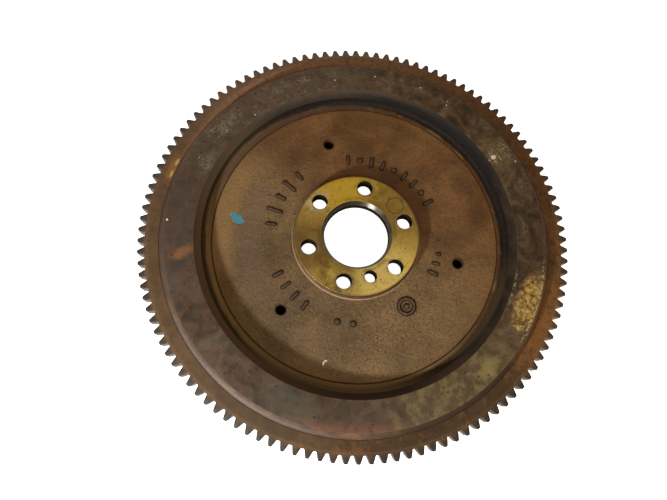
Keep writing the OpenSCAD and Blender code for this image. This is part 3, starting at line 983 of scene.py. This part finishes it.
def dowel_cutter(centre):
    """A cutter for a chamfered, flat-bottomed hole in the clutch side."""
    r = DOWEL_HOLE_R
    mouth = [(r + 1.2, CLUTCH_Z - 1), (r + 0.2, CLUTCH_Z), (r, CLUTCH_Z + 0.2)]
    return capped_lathe(mouth + [(r, CLUTCH_Z + DOWEL_HOLE_DEPTH)], 48, centre, "thread")


def thread_cutter(centre):
    """A cutter with a true helical thread, open towards -Z, with a drilled end."""
    steps, per_turn = 36, 8
    rings = []
    for j in range(int((THREAD_DEPTH + 1.2) / THREAD_PITCH * per_turn) + 1):
        z = CLUTCH_Z - 1 + j * THREAD_PITCH / per_turn
        deep = z - CLUTCH_Z
        ring = []
        for k in range(steps):
            phase = (z / THREAD_PITCH - k / steps) % 1
            ridge = min(1, max(0, 2.2 * (1 - abs(2 * phase - 1)) - 0.6))
            r = THREAD_CORE_R + (THREAD_R - THREAD_CORE_R) * ridge
            if deep < 0.8:
                r = max(r, THREAD_R + 0.15 + (0.8 - deep) * 0.5)
            if deep > THREAD_DEPTH - 2:
                r = THREAD_CORE_R
            x, y = polar(r, 360 * k / steps)
            ring.append((centre[0] + x, centre[1] + y, z))
        rings.append(ring)
    vertices = [point for ring in rings for point in ring]
    top, tip = len(vertices) - steps, len(vertices)
    vertices.append((*centre, CLUTCH_Z + THREAD_DEPTH + THREAD_CORE_R * 0.6))
    faces = skin(len(rings), steps, False) + [tuple(range(steps))]
    faces += [(top + k, top + (k + 1) % steps, tip) for k in range(steps)]
    return vertices, faces, ["thread"] * len(faces)


def hole_cutters():
    """Every hole in the casting, as closed cutters."""
    parts = [through_hole(CRANK_BOLT_HOLE_R, polar(CRANK_BOLT_R, a)) for a in CRANK_BOLT_ANGLES]
    parts.append(through_hole(DOWEL_HOLE_R, polar(CRANK_DOWEL_R, CRANK_DOWEL_ANGLE)))
    parts += [tooling_cutter(polar(TOOLING_R, a)) for a in TOOLING_ANGLES]
    parts += [dowel_cutter(polar(COVER_R, a)) for a in TOOLING_ANGLES]
    parts += [thread_cutter(polar(COVER_R, a)) for a in COVER_ANGLES]
    return merged(parts)


# ---- the raised casting marks

def stroke(p, q, width):
    """A raised stroke from p to q with round ends and sloping sides, closed underneath."""
    arc_steps = 8
    along = math.degrees(math.atan2(q.y - p.y, q.x - p.x))
    lift = RANDOM.uniform(-0.12, 0.0)
    rings = []
    for offset, height in MARK_SECTION:
        z = FLOOR_Z + height + (lift if height > 0 else 0)
        ring = []
        for centre, start in ((q, along - 90), (p, along + 90)):
            for k in range(arc_steps + 1):
                x, y = polar(width / 2 + offset, start + 180 * k / arc_steps)
                ring.append((centre.x + x, centre.y + y, z))
        rings.append(ring)
    return capped(rings, "web")


def bar_mark(angle, radius, length):
    """A raised bar that points outwards, a little out of true as a pattern maker's stamp is."""
    lean = RANDOM.uniform(-3, 3)
    middle = Vector(polar(radius + RANDOM.uniform(-0.3, 0.3), angle))
    reach = Vector(polar(length / 2 - MARK_W / 2, angle + lean))
    return stroke(middle - reach, middle + reach, MARK_W)


def pip_mark(angle, radius):
    middle = Vector(polar(radius, angle))
    tiny = Vector((0.01, 0))
    return stroke(middle - tiny, middle + tiny, 2 * MARK_W)


def ring_mark(angle, radius, outer_r):
    """A raised ring, as a date clock's outline."""
    outline = [(outer_r + offset, FLOOR_Z + h, "web") for offset, h in MARK_SECTION]
    outline += [(outer_r - MARK_W - offset, FLOOR_Z + h, "web") for offset, h in reversed(MARK_SECTION)]
    return lathe(outline, 64, polar(radius, angle))


def casting_marks():
    """Plain bars, pips and a ring where a foundry puts its marks."""
    parts = []
    for i in range(9):
        angle = 40 + 8.5 * i
        parts.append(pip_mark(angle, 58) if i % 3 == 1 else bar_mark(angle, 58, 7))
    parts += [bar_mark(145 + 10 * i, 60, 7 + 4 * (i % 2)) for i in range(5)]
    parts += [bar_mark(220 + 9 * i, 60, 7) for i in range(4)]
    parts += [pip_mark(270 + 10 * i, 61) for i in range(2)]
    parts += [ring_mark(317, 59, 6), pip_mark(317, 59)]
    parts += [bar_mark(347 + 7 * i, 58, 7 - 2 * i) for i in range(3)]
    return merged(parts)


def build_casting():
    materials = casting_materials()
    body = outward(new_object("casting", casting_blank(), materials))
    combine(body, new_object("marks", casting_marks(), materials), "UNION")
    combine(body, new_object("drills", hole_cutters(), materials), "DIFFERENCE")
    body.data.set_sharp_from_angle(angle=math.radians(38))
    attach(body, "root")
    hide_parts("flywheel_body")


# ---- the ring gear

def involute(angle):
    return math.tan(angle) - angle


def tooth_half_angle(radius):
    """Half of the angle that a tooth fills at that radius, in radians, along its involute flank."""
    base_r = PITCH_R * math.cos(PRESSURE_ANGLE)
    return math.pi / 2 / TEETH + involute(PRESSURE_ANGLE) - involute(math.acos(min(1, base_r / radius)))


def tooth_outline(tip_r):
    """One tooth as [(radius, angle)] from the middle of the gap before it to the middle of the gap after."""
    gap = math.pi / TEETH
    rising = [(ROOT_R, -gap, 0), (ROOT_R, -tooth_half_angle(ROOT_R), 0.8)]
    rising += [(r, -tooth_half_angle(r), 0) for r in (143.4, 144.8, 146.1)]
    rising += [(tip_r, -tooth_half_angle(tip_r), 0.55)]
    falling = [(r, -a, radius) for r, a, radius in reversed(rising)]
    corners = [(r * math.sin(a), r * math.cos(a), radius) for r, a, radius in rising + falling]
    points = rounded(corners[1:-1] + [corners[-1], corners[0]], steps=4)
    return sorted(((math.hypot(x, y), math.atan2(x, y)) for x, y, _ in points), key=lambda p: p[1])


def ring_outline():
    """The whole toothed outline, as [(radius, angle)] all the way round, each tooth a little different."""
    outline = []
    for i in range(TEETH):
        tooth = tooth_outline(TIP_R - RANDOM.uniform(0.0, TOOTH_WEAR))
        outline += [(r, a + 2 * math.pi * i / TEETH) for r, a in tooth[:-1]]
    return outline


def inset(points, distance):
    """The toothed outline moved inwards by distance, along its own normals."""
    moved = []
    for before, here, after in zip(points[-1:] + points[:-1], points, points[1:] + points[:1]):
        along = (after - before).normalized()
        moved.append(here + Vector((-along.y, along.x)) * distance)
    return moved


def bevel_drop(radius):
    """How far the ring's end face has fallen at that radius."""
    return TOOTH_BEVEL * max(0, (radius - BEVEL_FOOT_R) / (TIP_R - BEVEL_FOOT_R))


def ring_mesh():
    """The ring gear as rows of points: from the seat over the front face, down the teeth and back."""
    outline = ring_outline()
    edge = [Vector((r * math.cos(a), r * math.sin(a))) for r, a in outline]
    contours = ((inset(edge, 0.28), 0.0), (inset(edge, 0.08), 0.09), (edge, 0.30))
    seat_r, chamfer = SEAT_R + 0.05, 0.1
    face_radii = (seat_r + chamfer, 136.4, 139.2, BEVEL_FOOT_R)
    rows = []

    def circle(radius, z):
        rows.append([(radius * math.cos(a), radius * math.sin(a), z) for _, a in outline])

    def contour(points, drop, face_z, side):
        rows.append([(p.x, p.y, face_z - side * (bevel_drop(p.length) + drop)) for p in points])

    circle(seat_r, RING_FRONT_Z - chamfer)
    for radius in face_radii:
        circle(radius, RING_FRONT_Z)
    for points, drop in contours:
        contour(points, drop, RING_FRONT_Z, 1)
    front, back = RING_FRONT_Z - TOOTH_BEVEL - 0.3, RING_BACK_Z + TOOTH_BEVEL + 0.3
    for share in (0.33, 0.67):
        rows.append([(p.x, p.y, front + (back - front) * share) for p in edge])
    for points, drop in reversed(contours):
        contour(points, drop, RING_BACK_Z, -1)
    for radius in reversed(face_radii):
        circle(radius, RING_BACK_Z)
    circle(seat_r, RING_BACK_Z + chamfer)
    circle(seat_r, (RING_FRONT_Z + RING_BACK_Z) / 2)
    faces = skin(len(rows), len(outline), True)
    return [v for row in rows for v in row], faces, ["steel"] * len(faces)


def build_ring_gear():
    ring = outward(new_object("ring_gear", ring_mesh(), {"steel": ring_steel()}, smooth_angle=40))
    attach(ring, "root")
    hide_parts("starter_ring_gear")


# ---- the cover dowels

def build_dowel(number, material):
    """A ground dowel with an undercut at the clutch face, a chamfered end and a centre dimple."""
    node = f"cover_dowel_{number + 1}"
    low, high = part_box(node)
    top, end = high.z / MM, low.z / MM
    r = (high.x - low.x) / 2 / MM
    outline = rounded([
        (0.6, top, 0), (r, top, 0.2),
        (r, CLUTCH_Z + 0.4, 0.05), (r - 0.3, CLUTCH_Z + 0.4, 0.1),
        (r - 0.3, CLUTCH_Z - 0.4, 0.1), (r, CLUTCH_Z - 0.4, 0.05),
        (r, end + 0.8, 0.3), (r - 0.8, end, 0.25), (0.9, end, 0.1), (0.3, end + 0.45, 0),
    ], steps=3)
    centre = polar(COVER_R, TOOLING_ANGLES[number])
    mesh = capped_lathe([(x, z) for x, z, _ in outline], 48, centre, "steel")
    dowel = outward(new_object(f"dowel_{number + 1}", mesh, {"steel": material}))
    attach(dowel, "root")
    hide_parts(node)


# ---- stage, light and camera

def build_floor():
    """A plain, evenly bright pale floor just below the dowels."""
    s = Shade("pale_floor")
    shader = s.node("BsdfPrincipled", {
        "Base Color": (0.9, 0.9, 0.9, 1), "Roughness": 0.9,
        "Emission Color": (1, 1, 1, 1), "Emission Strength": 0.95,
    })
    s.node("OutputMaterial", {0: shader.outputs[0]})
    half = 40000
    z = BODY_BOX[0].z / MM - 6.2
    corners = [(-half, -half, z), (half, -half, z), (half, half, z), (-half, half, z)]
    floor = new_object("floor", (corners, [(0, 1, 2, 3)], ["floor"]), {"floor": s.material})


def direction(azimuth, elevation):
    """The unit vector that points there; azimuth 0 is along +X."""
    level, up = polar(1, elevation)
    return Vector((*polar(level, azimuth), up))


def area_light(name, azimuth, elevation, distance, size, power, colour):
    """A soft square light aimed at the wheel from that direction; distance and size in metres."""
    light = bpy.data.lights.new(name, "AREA")
    light.shape = "SQUARE"
    light.size = size
    light.energy = power
    light.color = colour
    obj = bpy.data.objects.new(name, light)
    back = direction(azimuth, elevation)
    obj.location = back * distance
    obj.rotation_mode = "QUATERNION"
    obj.rotation_quaternion = back.to_track_quat("Z", "Y")
    bpy.context.scene.collection.objects.link(obj)


def build_world():
    """A plain studio: pale at the horizon, warm and dimmer overhead so that flat faces keep their colour."""
    world = bpy.data.worlds.new("studio")
    world.use_nodes = True
    nodes, links = world.node_tree.nodes, world.node_tree.links
    split = nodes.new("ShaderNodeSeparateXYZ")
    links.new(nodes.new("ShaderNodeTexCoord").outputs["Generated"], split.inputs[0])
    sky = nodes.new("ShaderNodeValToRGB")
    sky.color_ramp.interpolation = "EASE"
    horizon, overhead = sky.color_ramp.elements
    horizon.position, horizon.color = 0.10, (0.66, 0.65, 0.63, 1)
    overhead.position, overhead.color = 0.60, (0.26, 0.20, 0.13, 1)
    links.new(split.outputs["Z"], sky.inputs[0])
    links.new(sky.outputs[0], nodes["Background"].inputs["Color"])
    bpy.context.scene.world = world


def build_lights():
    """Cool window light from low at the lower left, and a warm lamp behind the viewer."""
    area_light("window", 243, 21.2, 0.52, 0.035, 4.3, (0.90, 0.97, 1.0))
    area_light("lamp", 309, 50, 1.5, 0.9, 11, (1.0, 0.84, 0.62))


def build_camera():
    """Looks down at the wheel from the front, a little from one side and slightly rolled."""
    elevation, azimuth, roll = 73.244, 0.966, 12.275
    distance = 359.04
    aim = Vector((-13.31, -14.96, 0))
    back = direction(azimuth - 90, elevation)
    data = bpy.data.cameras.new("camera")
    data.lens = 28.606
    data.clip_start, data.clip_end = 0.01, 50
    camera = bpy.data.objects.new("camera", data)
    camera.location = (aim + back * distance) * MM
    camera.rotation_mode = "QUATERNION"
    level = (-back).to_track_quat("-Z", "Y")
    camera.rotation_quaternion = level @ Matrix.Rotation(math.radians(roll), 3, "Z").to_quaternion()
    bpy.context.scene.collection.objects.link(camera)
    bpy.context.scene.camera = camera


# ---- the scene

build_casting()
build_ring_gear()
steel = dowel_steel()
for number in range(3):
    build_dowel(number, steel)
build_floor()
build_world()
build_lights()
build_camera()
bpy.context.scene.view_settings.view_transform = "Standard"
